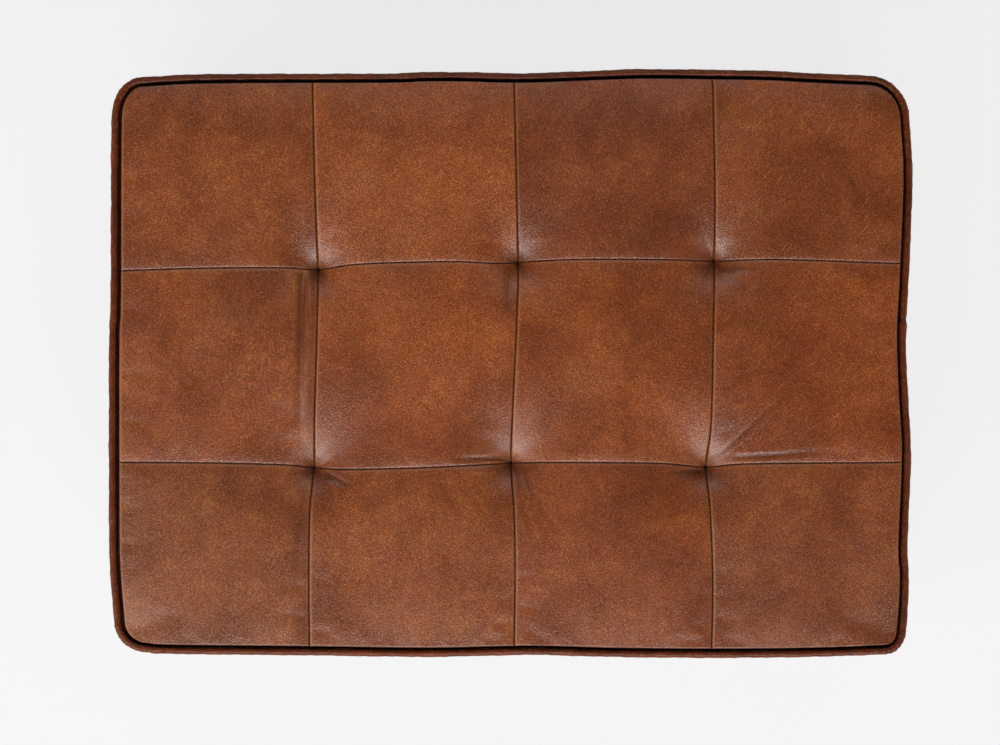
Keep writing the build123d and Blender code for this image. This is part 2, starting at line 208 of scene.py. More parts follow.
# ---- stage: each light's name, place, size in metres and power in watts ----
LIGHTS = (
    ("key", (-0.25, -2.75, 3.25), (3.9, 1.1), 198.0),
    ("left_fill", (-2.1, -1.1, 2.1), (0.8, 1.6), 31.0),
    ("right_fill", (2.1, -1.3, 2.1), (0.8, 1.6), 6.0),
    ("back_fill", (0.0, 2.2, 2.8), (2.8, 0.8), 24.0),
)
FLOOR_HALF = 9.0
HORIZON_BAND = 0.12         # sine of the pale band's height
HORIZON_LEVEL = 0.80
CEILING_LEVEL = 0.05
CAMERA_AIM = (-0.010, -0.0095)
CAMERA_LENS = 120.0
SENSOR = 36.0
VIEW_WIDTH = 0.9965         # metres across the picture at the top of the pouf


def rng(seed):
    return np.random.default_rng(SEED * 1000 + seed)


def bell(distance, width):
    """1 at no distance, falling off as a bell curve."""
    return np.exp(-(distance / width) ** 2)


def fade(distance, width):
    """1 at no distance, falling off as an exponential."""
    return np.exp(-distance / width)


# ---- plan curves ----
def spline(points, per_span=24):
    """Dense points of a Catmull-Rom curve through the given points."""
    points = np.array(points, float)
    padded = np.concatenate([2 * points[:1] - points[1:2], points, 2 * points[-1:] - points[-2:-1]])
    t = np.linspace(0, 1, per_span, endpoint=False)[:, None]
    spans = []
    for a, b, c, d in zip(padded, padded[1:], padded[2:], padded[3:]):
        cubic = (-a + 3 * b - 3 * c + d) * t ** 3 + (2 * a - 5 * b + 4 * c - d) * t ** 2
        spans.append(0.5 * (cubic + (c - a) * t + 2 * b))
    return np.concatenate(spans + [points[-1:]])


def lengths(points):
    """Distance along a run of points, from its start."""
    steps = np.linalg.norm(np.diff(points, axis=0), axis=1)
    return np.concatenate([[0.0], np.cumsum(steps)])


def resampled(points, fractions):
    """Points at the stated fractions of a run's length."""
    along = lengths(points)
    return np.stack([np.interp(fractions * along[-1], along, axis) for axis in points.T], axis=1)


def nearest(points, target):
    return int(np.argmin(np.linalg.norm(points - np.array(target), axis=1)))


def outline_loop():
    """The welt's outer edge as a closed, evenly spaced loop, clockwise from the back left corner."""
    points = []
    for index, run in enumerate(OUTLINE):
        points += list(spline(run, per_span=10))
        heading = -index * math.pi / 2
        start = np.array(run[-1], float)
        end = np.array(OUTLINE[(index + 1) % 4][0], float)
        reach = end - start
        for step in range(1, 8):
            angle = step / 8 * math.pi / 2
            along = np.array([math.cos(heading), math.sin(heading)])
            inward = np.array([math.sin(heading), -math.cos(heading)])
            size_along = reach @ along
            size_inward = reach @ inward
            points.append(start + along * size_along * math.sin(angle)
                          + inward * size_inward * (1 - math.cos(angle)))
    loop = np.array(points) * MM
    loop = np.concatenate([loop, loop[:1]])
    return resampled(loop, np.linspace(0, 1, WELT_SECTIONS, endpoint=False))


def inward_offset(loop, distance):
    """A clockwise loop moved inwards, by one distance or by one for each point."""
    ahead = np.roll(loop, -1, axis=0) - np.roll(loop, 1, axis=0)
    ahead /= np.linalg.norm(ahead, axis=1)[:, None]
    inward = np.stack([ahead[:, 1], -ahead[:, 0]], axis=1)
    return loop + inward * np.reshape(distance, (-1, 1))


WELT_LOOP = outline_loop()
FIELD_LOOP = inward_offset(WELT_LOOP, 2 * WELT_RADIUS + GROOVE
                           + LEFT_EXTRA * np.clip((-0.37 - WELT_LOOP[:, 0]) / 0.02, 0, 1))


def seam_curves():
    """Row seams and column seams in metres, each ending on the field's edge."""
    curves = []
    for group in (ROW_SEAMS, COLUMN_SEAMS):
        dense = []
        for seam in group:
            line = spline(np.array(seam, float) * MM)
            line[0] = FIELD_LOOP[nearest(FIELD_LOOP, line[0])]
            line[-1] = FIELD_LOOP[nearest(FIELD_LOOP, line[-1])]
            dense.append(line)
        curves.append(dense)
    return curves


ROW_CURVES, COLUMN_CURVES = seam_curves()


def crossing(row, column):
    """Where a row line meets a column line: rows 0 to 3 from the back, columns 0 to 4 from the left."""
    if 0 < row < 3 and 0 < column < 4:
        return np.array(TUFTS[row - 1][column - 1]) * MM
    if 0 < row < 3:
        return ROW_CURVES[row - 1][0 if column == 0 else -1]
    if 0 < column < 4:
        return COLUMN_CURVES[column - 1][0 if row == 0 else -1]
    side = (-1 if column == 0 else 1, 1 if row == 0 else -1)
    return FIELD_LOOP[int(np.argmax(FIELD_LOOP @ np.array(side)))]


def boundary(start, end):
    """The dense run of seam or field edge between two neighbouring crossings."""
    a = crossing(*start)
    b = crossing(*end)
    if start[0] == end[0] and 0 < start[0] < 3:
        line = ROW_CURVES[start[0] - 1]
    elif start[1] == end[1] and 0 < start[1] < 4:
        line = COLUMN_CURVES[start[1] - 1]
    else:
        first = nearest(FIELD_LOOP, a)
        turned = np.roll(FIELD_LOOP, -first, axis=0)
        last = nearest(turned, b)
        if last <= len(turned) // 2:
            return turned[:last + 1]
        return np.concatenate([turned[:1], turned[:last - 1:-1]])
    run = line[nearest(line, a):nearest(line, b) + 1].copy()
    run[0] = a
    run[-1] = b
    return run


def coons(row, column, u, v):
    """Plan points of a square at fractions u, to the right, and v, to the front."""
    back = resampled(boundary((row, column), (row, column + 1)), u)
    front = resampled(boundary((row + 1, column), (row + 1, column + 1)), u)
    left = resampled(boundary((row, column), (row + 1, column)), v)
    right = resampled(boundary((row, column + 1), (row + 1, column + 1)), v)
    uu = u[:, None, None]
    vv = v[None, :, None]
    ruled = (1 - vv) * back[:, None] + vv * front[:, None] + (1 - uu) * left[None] + uu * right[None]
    corners = ((1 - uu) * (1 - vv) * back[0] + uu * (1 - vv) * back[-1]
               + (1 - uu) * vv * front[0] + uu * vv * front[-1])
    return ruled - corners


# ---- relief of the top ----
def creases():
    """Folds in the leather: start, heading in degrees, bend, length, width, depth, lip and shade, lengths in
    millimetres. A negative depth is a ridge, and a lip is the share of the depth raised left of the fold."""
    draw = rng(1)
    folds = []
    for tuft_row in TUFTS:
        for x, y in tuft_row:
            for quarter in range(4):
                for _ in range(3):
                    heading = quarter * 90 + draw.uniform(8, 82)
                    folds.append((x, y, heading, draw.uniform(-0.3, 0.3), draw.uniform(14, 38),
                                  draw.uniform(0.9, 2.0), draw.uniform(0.10, 0.30), 0.0, 0.25))
    folds += [
        (-206.5, 94, 269, -0.01, 175, 3.6, 4.0, 0.60, 0.42),
        (-201, 60, 268, 0.01, 120, 2.0, 0.7, 0.3, 0.2),
        (-203, -122, 262, 0.02, 110, 3.4, 1.1, 0.4, 0.22),
        (-188, -109, 338, -0.1, 34, 3.6, 2.0, 0.2, 0.45),
        (-4, -96, 177, 0.04, 54, 1.8, 2.2, 0.0, 0.8),
        (-10, -107, 181, 0.0, 40, 3.4, -1.3, 0.0, 0.0),
        (4, -112, 286, 0.05, 70, 2.6, 0.9, 0.4, 0.2),
        (12, -112, 300, 0.05, 60, 2.0, 0.7, 0.4, 0.25),
        (2, 98, 266, -0.02, 62, 4.6, 1.7, 0.2, 0.22),
        (193, -107, 184, 0.03, 38, 3.6, 2.2, 0.0, 0.5),
        (208, 95, 353, 0.1, 44, 2.6, 1.1, 0.0, 0.5),
        (200, -99, 40, 0.06, 115, 1.3, 0.60, 0.0, 0.40),
        (202, -97, 45, -0.05, 105, 1.1, 0.50, 0.3, 0.35),
        (205, -100, 33, 0.10, 95, 1.2, 0.50, 0.3, 0.35),
        (212, -97, 52, 0.05, 75, 1.0, 0.40, 0.0, 0.3),
        (222, -94, 3, 0.02, 100, 2.2, 1.0, 0.2, 0.6),
        (330, 190, 118, 0.1, 70, 1.6, 0.25, 0.0, 0.2),
        (352, 160, 122, -0.1, 80, 1.4, 0.25, 0.0, 0.2),
        (-262, -12, 92, 0.2, 90, 1.3, 0.25, 0.0, 0.2),
        (-240, -30, 85, -0.2, 80, 1.2, 0.25, 0.0, 0.2),
        (-60, 30, 120, 0.2, 70, 1.6, 0.25, 0.0, 0.2),
        (-40, 10, 100, -0.2, 60, 1.6, 0.2, 0.0, 0.2),
    ]
    return folds


CREASES = creases()


def crease_relief(x, y):
    """Height of the folds at plan points, in metres, and how much painted shade each point gets in them, 0 to
    1.
    """
    height = np.zeros_like(x)
    shade = np.zeros_like(x)
    for start_x, start_y, heading, bend, length, width, deep, lip_share, dark in CREASES:
        angle = math.radians(heading)
        dx = x - start_x * MM
        dy = y - start_y * MM
        along = dx * math.cos(angle) + dy * math.sin(angle)
        across = -dx * math.sin(angle) + dy * math.cos(angle)
        across = across - bend * along * np.abs(along) / (length * MM)
        reach = np.clip(along / (length * MM), 0, 1)
        swell = np.where(along > 0, np.sin(np.pi * np.sqrt(reach)) ** 0.8, 0.0)
        cut = bell(across, width * MM)
        lip = bell(across - 1.9 * width * MM, 1.3 * width * MM)
        height -= deep * MM * swell * (cut - lip_share * lip)
        shade = np.maximum(shade, swell * cut * dark)
    return height, shade


def tuft_distance(x, y):
    """Distance to the nearest tuft."""
    places = np.array(TUFTS, float).reshape(-1, 2) * MM
    return np.min([np.hypot(x - tuft_x, y - tuft_y) for tuft_x, tuft_y in places], axis=0)


def relief(row, column, plan, u, v):
    """Height of the leather over a square's plan points at fractions u and v, before the simulation."""
    count_u, count_v = plan.shape[:2]
    width, height = square_size(row, column)
    u = u[:, None]
    v = v[None, :]
    sides = {
        "left": (u * width, column > 0),
        "right": ((1 - u) * width, column < 3),
        "back": (v * height, row > 0),
        "front": ((1 - v) * height, row < 2),
    }
    seam = np.ones((count_u, count_v))
    drop = np.zeros((count_u, count_v))
    for side, (distance, is_seam) in sides.items():
        if is_seam:
            seam = seam * (1 - fade(distance, SEAM_SOFT))
        else:
            drop = drop + EDGE_DROPS[side] * fade(distance, EDGE_SOFT)
    return ground(plan[..., 0], plan[..., 1]) - SEAM_DIP * (1 - seam) - drop


def ground(x, y):
    """The top's overall dome with its six tufts, before seams and edges."""
    z = PLATEAU_Z + DOME * (1 - np.abs(x / 0.4) ** 3) * (1 - (y / 0.29) ** 2)
    for corner_x, corner_y in FRONT_CORNERS:
        z = z - CORNER_DROP * bell(np.hypot(x - corner_x, y - corner_y), CORNER_SOFT)
    for row, tuft_row in enumerate(TUFTS):
        for column, (tuft_x, tuft_y) in enumerate(tuft_row):
            distance = np.hypot(x - tuft_x * MM, y - tuft_y * MM)
            angle = np.arctan2(y - tuft_y * MM, x - tuft_x * MM)
            heading, extra = TUFT_PULLS.get((row, column), (0, 0.0))
            toward = np.clip(np.cos(angle - math.radians(heading)), 0, 1)
            lean = 1 + TUFT_LEAN * np.sin(angle) + extra * toward ** 2
            z = z - TUFT_DIP * np.exp(-(distance / (TUFT_SOFT * lean)) ** TUFT_POWER)
            z = z - PIT_DEPTH * fade(distance, PIT_RADIUS)
    return z


def square_size(row, column):
    width = lengths(boundary((row, column), (row, column + 1)))[-1]
    height = lengths(boundary((row, column), (row + 1, column)))[-1]
    return width, height


# ---- cloth simulation of the whole top ----
def inflate():
    """How far the foam pushes the leather out between its seams, for each point of the sheet."""
    cells = SIM_CELLS
    steps = np.linspace(0, 1, cells + 1)
    rows = 3 * cells + 1
    columns = 4 * cells + 1
    rest = np.zeros((columns, rows, 3))
    held = np.zeros((columns, rows), bool)
    for row in range(3):
        for column in range(4):
            plan = coons(row, column, steps, steps)
            z = relief(row, column, plan, steps, steps)
            part = np.concatenate([plan, z[..., None]], axis=2)
            rest[column * cells:(column + 1) * cells + 1, row * cells:(row + 1) * cells + 1] = part
    held[::cells] = True
    held[:, ::cells] = True
    index = np.arange(columns * rows).reshape(columns, rows)
    quads = np.stack([index[:-1, :-1], index[:-1, 1:], index[1:, 1:], index[1:, :-1]], axis=-1)
    mesh = bpy.data.meshes.new("sheet")
    mesh.from_pydata(rest.reshape(-1, 3).tolist(), [], quads.reshape(-1, 4).tolist())
    sheet = bpy.data.objects.new("sheet", mesh)
    bpy.context.collection.objects.link(sheet)
    pins = sheet.vertex_groups.new(name="pins")
    for vertex, is_held in enumerate(held.reshape(-1)):
        pins.add([vertex], 1.0 if is_held else SIM_HOLD, "REPLACE")
    cloth = sheet.modifiers.new("cloth", "CLOTH")
    for setting, value in CLOTH.items():
        setattr(cloth.settings, setting, value)
    cloth.settings.effector_weights.gravity = 0.0
    cloth.point_cache.frame_start = 1
    cloth.point_cache.frame_end = SIM_FRAMES
    for number in range(1, SIM_FRAMES + 1):
        bpy.context.scene.frame_set(number)
    graph = bpy.context.evaluated_depsgraph_get()
    result = sheet.evaluated_get(graph).to_mesh()
    moved = np.zeros(len(result.vertices) * 3)
    result.vertices.foreach_get("co", moved)
    push = moved.reshape(rest.shape) - rest
    bpy.data.objects.remove(sheet)
    bpy.context.scene.frame_set(1)
    size = np.linalg.norm(push, axis=2, keepdims=True)
    return push * np.tanh(size / SIM_CAP) / np.maximum(size / SIM_CAP, 1e-6)


def cubic(values, positions):
    """Catmull-Rom along the first axis of a grid, at positions counted in cells."""
    low = np.clip(np.floor(positions).astype(int), 0, len(values) - 2)
    t = (positions - low)[:, None, None]
    padded = np.concatenate([2 * values[:1] - values[1:2], values, 2 * values[-1:] - values[-2:-1]])
    a, b, c, d = (padded[low + step] for step in range(4))
    square = (2 * a - 5 * b + 4 * c - d) * t ** 2
    return 0.5 * (2 * b + (c - a) * t + square + (3 * b - a - 3 * c + d) * t ** 3)


# ---- meshes ----
def fine_ends(length, step, ends):
    """Fractions along a length: close together at both ends, even between, in a multiple of COARSE cells."""
    ends = np.array(ends) * MM
    middle = length - 2 * ends[-1]
    cells = max(COARSE, int(round(middle / step)))
    cells += -(cells + 2 * (len(ends) - 1)) % COARSE
    inner = np.linspace(ends[-1], length - ends[-1], cells + 1)
    return np.concatenate([ends[:-1], inner, (length - ends[:-1])[::-1]]) / length


def closed_form(upper, under, wall=None, coarse=COARSE):
    """Points and faces of a closed form: a fine upper grid, an optional wall below its border, and a
    coarse underside.

    upper and under are grids of the same shape; under is read at every coarse cell away from the border,
    where it follows the border itself, or the wall's foot."""
    count_u, count_v = upper.shape[:2]
    index = np.arange(count_u * count_v).reshape(count_u, count_v)
    points = [upper.reshape(-1, 3)]
    quads = np.stack([index[:-1, :-1], index[1:, :-1], index[1:, 1:], index[:-1, 1:]], axis=-1).reshape(-1, 4)
    faces = quads.tolist()
    ring = np.concatenate([index[:-1, 0], index[-1, :-1], index[:0:-1, -1], index[0, :0:-1]])
    foot = dict(zip(ring.tolist(), ring.tolist()))
    total = index.size
    if wall is not None:
        points.append(wall.reshape(-1, 3)[ring])
        lower = np.arange(total, total + len(ring))
        total += len(ring)
        foot = dict(zip(ring.tolist(), lower.tolist()))
        for a, b in zip(ring.tolist(), np.roll(ring, -1).tolist()):
            faces.append([b, a, foot[a], foot[b]])
    keep_u = np.arange(0, count_u, coarse)
    keep_v = np.arange(0, count_v, coarse)
    inner = {}
    extra = []
    for i in keep_u[1:-1].tolist():
        for j in keep_v[1:-1].tolist():
            inner[i, j] = total
            total += 1
            extra.append(under[i, j])
    points.append(np.array(extra).reshape(-1, 3))

    def edge_run(i0, j0, i1, j1):
        """Vertices from one coarse corner to just before the next, with all border points between."""
        if (i0, j0) in inner or (i1, j1) in inner:
            return [inner[i0, j0] if (i0, j0) in inner else foot[int(index[i0, j0])]]
        run = []
        steps = max(abs(i1 - i0), abs(j1 - j0))
        on_border = (i0 == i1 and i0 in (0, count_u - 1)) or (j0 == j1 and j0 in (0, count_v - 1))
        for step in range(steps if on_border else 1):
            i = i0 + (i1 - i0) * step // steps
            j = j0 + (j1 - j0) * step // steps
            run.append(foot[int(index[i, j])])
        return run

    for i0, i1 in zip(keep_u[:-1].tolist(), keep_u[1:].tolist()):
        for j0, j1 in zip(keep_v[:-1].tolist(), keep_v[1:].tolist()):
            corners = ((i0, j0), (i0, j1), (i1, j1), (i1, j0))
            face = []
            for a, b in zip(corners, corners[1:] + corners[:1]):
                face += edge_run(*a, *b)
            faces.append(face)
    return np.concatenate(points), faces


def merged(parts):
    """Several (points, faces) pairs as one."""
    points = []
    faces = []
    total = 0
    for part_points, part_faces in parts:
        points.append(np.asarray(part_points))
        faces += [[vertex + total for vertex in face] for face in part_faces]
        total += len(part_points)
    return np.concatenate(points), faces


def mesh_object(name, points, faces, smooth=True):
    mesh = bpy.data.meshes.new(name)
    mesh.from_pydata(np.asarray(points).tolist(), [], faces)
    mesh.update()
    if smooth:
        mesh.polygons.foreach_set("use_smooth", np.ones(len(mesh.polygons), bool))
    obj = bpy.data.objects.new(name, mesh)
    bpy.context.collection.objects.link(obj)
    return obj


def mark(obj, name, values, hidden=0.0):
    """A per-vertex number that a material reads; vertices past the end of values get the hidden one."""
    attribute = obj.data.attributes.new(name, "FLOAT", "POINT")
    full = np.full(len(obj.data.vertices), hidden, np.float32)
    flat = np.asarray(values, np.float32).reshape(-1)
    full[:len(flat)] = flat
    attribute.data.foreach_set("value", full)


def finish_piece(obj, material):
    obj.data.materials.clear()
    obj.data.materials.append(material)
    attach(obj, "root")
    return obj


# ---- procedural materials ----
class Shader:
    """Short calls for the nodes that the materials below are made of."""

    def __init__(self, name, **settings):
        self.material = bpy.data.materials.new(name)
        self.material.use_nodes = True
        self.tree = self.material.node_tree
        self.surface = self.tree.nodes["Principled BSDF"]
        self.object_space = self.tree.nodes.new("ShaderNodeTexCoord").outputs["Object"]
        for socket, value in settings.items():
            self.surface.inputs[socket.replace("_", " ")].default_value = value

    def put(self, socket, value):
        if isinstance(value, bpy.types.NodeSocket):
            self.tree.links.new(value, socket)
        else:
            socket.default_value = value

    def add(self, kind, inputs, output=0, **settings):
        node = self.tree.nodes.new(kind)
        for key, value in settings.items():
            setattr(node, key, value)
        for key, value in inputs.items():
            self.put(node.inputs[key], value)
        return node.outputs[output]

    def place(self, turn=(0, 0, 0), scale=(1, 1, 1), shift=(0, 0, 0), source=None):
        angles = tuple(math.radians(angle) for angle in turn)
        inputs = {"Vector": source or self.object_space, "Rotation": angles, "Scale": scale,
                  "Location": shift}
        return self.add("ShaderNodeMapping", inputs)

    def noise(self, vector, scale, detail=3.0, roughness=0.5, distortion=0.0):
        inputs = {"Vector": vector, "Scale": scale, "Detail": detail, "Roughness": roughness,
                  "Distortion": distortion}
        return self.add("ShaderNodeTexNoise", inputs)

    def cells(self, vector, scale, feature="F1", randomness=1.0):
        inputs = {"Vector": vector, "Scale": scale, "Randomness": randomness}
        return self.add("ShaderNodeTexVoronoi", inputs, output="Distance", feature=feature)

    def math(self, operation, a, b=0.0):
        return self.add("ShaderNodeMath", {0: a, 1: b}, operation=operation)

    def remap(self, value, low, high, to_low=0.0, to_high=1.0):
        inputs = {"Value": value, "From Min": low, "From Max": high, "To Min": to_low, "To Max": to_high}
        return self.add("ShaderNodeMapRange", inputs, interpolation_type="SMOOTHSTEP")

    def blend(self, factor, a, b, mode="MIX"):
        node = self.tree.nodes.new("ShaderNodeMix")
        node.data_type = "RGBA"
        node.blend_type = mode
        self.put(node.inputs[0], factor)
        for socket, value in ((node.inputs[6], a), (node.inputs[7], b)):
            self.put(socket, (*value, 1.0) if isinstance(value, tuple) else value)
        return node.outputs[2]

    def attribute(self, name):
        return self.add("ShaderNodeAttribute", {}, output="Fac", attribute_name=name)

    def bump(self, height, strength, distance, normal=None):
        inputs = {"Height": height, "Strength": strength, "Distance": distance}
        if normal is not None:
            inputs["Normal"] = normal
        return self.add("ShaderNodeBump", inputs)

    def colour(self, value):
        self.put(self.surface.inputs["Base Color"], value)

    def rough(self, value):
        self.put(self.surface.inputs["Roughness"], value)

    def relief(self, value):
        self.put(self.surface.inputs["Normal"], value)


def tinted(colour, tone):
    return tuple(channel * factor for channel, factor in zip(colour, tone))


def leather(name, tone=(1, 1, 1), seed=0, streaks=(0.0, 0.0), crackle=None, mottle=1.0, shine=0.42):
    """Waxed, pull-up leather: cloudy patina, worn spots, fine pebble grain, pores, light scratches, painted
    shade and painted highlight rims.

    streaks is a heading in degrees and a strength; crackle is a centre and radius for fine cracks."""
    shader = Shader(name, Specular_IOR_Level=shine)
    draw = rng(100 + seed)
    here = shader.place(shift=tuple(draw.uniform(-20, 20, 3)))
    cloud = shader.noise(here, CLOUD_SCALE, detail=4.0, roughness=0.55, distortion=0.3)
    blotch = shader.noise(here, BLOTCH_SCALE, detail=5.0, roughness=0.68, distortion=0.6)
    speck = shader.noise(here, SPECK_SCALE, detail=2.0, roughness=0.7)
    pores = shader.noise(here, PORE_SCALE, detail=1.0)
    bloom = shader.noise(here, BLOOM_SCALE, detail=5.0, roughness=0.6, distortion=0.8)
    # lighter towards each square's middle and darker towards its seams and edges: partly wear, partly painted
    # shade
    middle = shader.math("MULTIPLY", shader.attribute("wear_and_shade"), 0.07)
    patina = shader.math("ADD", cloud, middle)
    base = shader.blend(shader.remap(patina, 0.32, 0.69), tinted(LEATHER_DARK, tone),
                        tinted(LEATHER_MID, tone))
    worn = shader.math("MULTIPLY", shader.remap(blotch, 0.42, 0.72),
                       shader.remap(patina, 0.40, 0.68, 0.14, 0.56 * mottle))
    base = shader.blend(worn, base, tinted(LEATHER_WORN, tone))
    base = shader.blend(shader.remap(bloom, 0.46, 0.72, 0.0, 0.30), base, tinted(LEATHER_BLOOM, tone))
    base = shader.blend(shader.remap(speck, 0.46, 0.68, 0.0, 0.26), base, tinted(LEATHER_SPECK, tone))
    base = shader.blend(1.0, base, shader.remap(pores, 0.3, 0.7, 0.50, 1.42), mode="MULTIPLY")
    jitter = shader.add("ShaderNodeTexNoise", {"Vector": here, "Scale": JITTER_SCALE}, output="Color")
    jitter = shader.add("ShaderNodeVectorMath", {0: jitter, "Scale": 0.0009}, operation="SCALE")
    warped = shader.add("ShaderNodeVectorMath", {0: here, 1: jitter}, operation="ADD")
    pebble = shader.remap(shader.cells(warped, PEBBLE_SCALE), 0.64, 0.16)
    fine = shader.remap(shader.cells(warped, FINE_SCALE), 0.62, 0.16)
    grain = shader.math("ADD", shader.math("MULTIPLY", pebble, 0.65), shader.math("MULTIPLY", fine, 0.35))
    base = shader.blend(shader.remap(grain, 0.15, 0.70, 0.50, 0.0), base,
                        tinted(LEATHER_DARK, (0.60, 0.55, 0.55)))
    scratch_total = None
    for turn, stretch, amount in ((draw.uniform(20, 160), 7, 0.07), (streaks[0], 14, streaks[1])):
        if amount > 0:
            turned = shader.place(turn=(0, 0, turn), source=here)
            line = shader.noise(shader.place(scale=(stretch, 240, 60), source=turned), 3.0, detail=2.0)
            line = shader.remap(line, 0.64, 0.76, 0.0, amount)
            scratch_total = line if scratch_total is None else shader.math("MAXIMUM", scratch_total, line)
    base = shader.blend(scratch_total, base, tinted(LEATHER_PALE, tone))
    height = grain
    if crackle is not None:
        centre, radius = crackle
        away = shader.add("ShaderNodeVectorMath", {0: shader.object_space, 1: centre}, output="Value",
                          operation="DISTANCE")
        inside = shader.remap(away, radius, radius * 0.35)
        wavy = shader.place(turn=(0, 0, 8), scale=(1.0, 0.42, 1.0), source=warped)
        crack = shader.cells(wavy, CRACK_SCALE, feature="DISTANCE_TO_EDGE")
        crack = shader.math("MULTIPLY", shader.remap(crack, 0.10, 0.0), inside)
        base = shader.blend(shader.math("MULTIPLY", crack, 0.45), base, tinted(LEATHER_DARK, (0.7, 0.7, 0.7)))
        height = shader.math("SUBTRACT", height, crack)
    # painted shade: near-black where the shade attribute is high, in seams, pits, folds, grooves and hidden
    # walls
    base = shader.blend(shader.math("MULTIPLY", shader.attribute("shade"), 0.94), base,
                        tinted(LEATHER_DARK, (0.12, 0.10, 0.10)))
    # painted highlight: pale rims along the seams and the welt, partly rubbed leather
    base = shader.blend(shader.math("MULTIPLY", shader.attribute("highlight_and_rub"), 0.55), base,
                        tinted(LEATHER_PALE, tone))
    shader.colour(base)
    gloss = shader.math("ADD", cloud, shader.math("MULTIPLY", speck, 0.4))
    gloss = shader.remap(gloss, 0.5, 0.9, 0.27, 0.34)
    shader.rough(shader.math("MAXIMUM", gloss, shader.math("MULTIPLY", shader.attribute("shade"), 0.85)))
    pebbled = shader.bump(height, 0.7, 0.00020)
    wrinkle = shader.noise(here, WRINKLE_SCALE, detail=4.0, roughness=0.6, distortion=1.0)
    shader.relief(shader.bump(wrinkle, 0.2, 0.0011, pebbled))
    return shader.material


def plain_noise_material(name, dark, light, scale, stretch=(1, 1, 1), rough=(0.6, 0.8), bump=(0.3, 0.0004),
                         **settings):
    """A material whose colour and relief follow one stretched noise."""
    shader = Shader(name, **settings)
    here = shader.place(scale=stretch)
    fibre = shader.noise(here, scale, detail=5.0, roughness=0.6, distortion=0.3)
    shader.colour(shader.blend(shader.remap(fibre, 0.32, 0.68), dark, light))
    shader.rough(shader.remap(fibre, 0.3, 0.7, *rough))
    shader.relief(shader.bump(fibre, *bump))
    return shader.material


# ---- pieces: the tufted top ----
def lowered(grid, depth):
    """A coarser copy of a square's surface, clear of its seams, moved down."""
    inner = grid[PAD_MARGIN:-PAD_MARGIN:2, PAD_MARGIN:-PAD_MARGIN:2].copy()
    inner[..., 2] -= depth
    return inner


def make_squares():
    """The twelve leather squares, with the wadding and the soft foam that fill each of them."""
    push = inflate()
    wadding = []
    foam = []
    cells = SIM_CELLS
    for row, row_name in enumerate(ROW_NAMES):
        for column in range(4):
            width, height = square_size(row, column)
            u = fine_ends(width, SQUARE_STEP, SQUARE_ENDS)
            v = fine_ends(height, SQUARE_STEP, SQUARE_ENDS)
            plan = coons(row, column, u, v)
            z = relief(row, column, plan, u, v)
            local = push[column * cells:(column + 1) * cells + 1, row * cells:(row + 1) * cells + 1]
            local = cubic(local, u * cells)
            local = cubic(local.transpose(1, 0, 2), v * cells).transpose(1, 0, 2)
            folds, fold_shade = crease_relief(plan[..., 0], plan[..., 1])
            grid = np.concatenate([plan, (z + folds)[..., None]], axis=2) + local
            grid, borders = turned_edges(grid, u * width, v * height)
            name = f"top_square_{row_name}_{column + 1}"
            wall = grid.copy()
            wall[..., 2] -= ALLOWANCE
            under = grid.copy()
            under[..., 2] -= LEATHER_T
            square = mesh_object(name, *closed_form(grid, under, wall))
            to_tuft = tuft_distance(plan[..., 0], plan[..., 1])
            near_tuft = fade(to_tuft, TUFT_SHADE)
            to_side = borders[:2].min(axis=0)
            to_front = borders[2:].min(axis=0)
            # painted shade: a dark line along each seam, darker near the tufts, and a dark patch round each
            # tuft's pit; the folds' painted shade joins them, and the hidden walls and underside take full
            # painted shade
            line_shade = np.maximum((0.52 + 0.45 * near_tuft) * bell(to_side, SEAM_SHADE),
                                    (0.80 + 0.20 * near_tuft) * bell(to_front, SEAM_SHADE))
            pit = 0.9 * fade(to_tuft, PIT_SHADE)
            mark(square, "shade", np.maximum(np.maximum(line_shade, fold_shade), pit), hidden=1.0)
            # painted highlight: pale rims beside the turned seam edges, strongest on the left borders and
            # weaker near the tufts
            rims = bell(borders - RIM, RIM_WIDTH)
            highlight_and_rub = 0.55 * rims[0] + 0.12 * rims[1]
            highlight_and_rub = highlight_and_rub + (0.34 if row else 0.0) * rims[2] + (0.08 if row < 2 else 0.0) * rims[3]
            mark(square, "highlight_and_rub", np.minimum(highlight_and_rub, 0.6) * (1 - 0.6 * near_tuft))
            # lighter middle of each square, darker near its seams and edges: partly wear, partly painted
            # shade
            mark(square, "wear_and_shade", 1 - fade(borders.min(axis=0), WEAR_AND_SHADE_SOFT))
            material = leather(f"leather_{row_name}_{column + 1}", TONES[row][column], row * 4 + column,
                               STREAKS.get((row, column), (0, 0)), CRACKLES.get((row, column)))
            finish_piece(square, material)
            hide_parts(f"top_patch_{row_name}_{column + 1}")
            wadding.append(closed_form(lowered(grid, WADDING_TOP), lowered(grid, WADDING_FOOT), coarse=1))
            foam_foot = lowered(grid, 0)
            foam_foot[..., 2] = FOAM_BOTTOM
            foam.append(closed_form(lowered(grid, FOAM_TOP), foam_foot, foam_foot, coarse=1))
    for name, parts, node, fill in (("fibre_wadding_pads", wadding, "fibre_wadding", 0.5),
                                    ("soft_foam_pads", foam, "soft_foam_squares", 0.9)):
        pads = mesh_object(name, *merged(parts))
        finish_piece(pads, MATERIALS[SLOTS[node]])
        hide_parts(node)


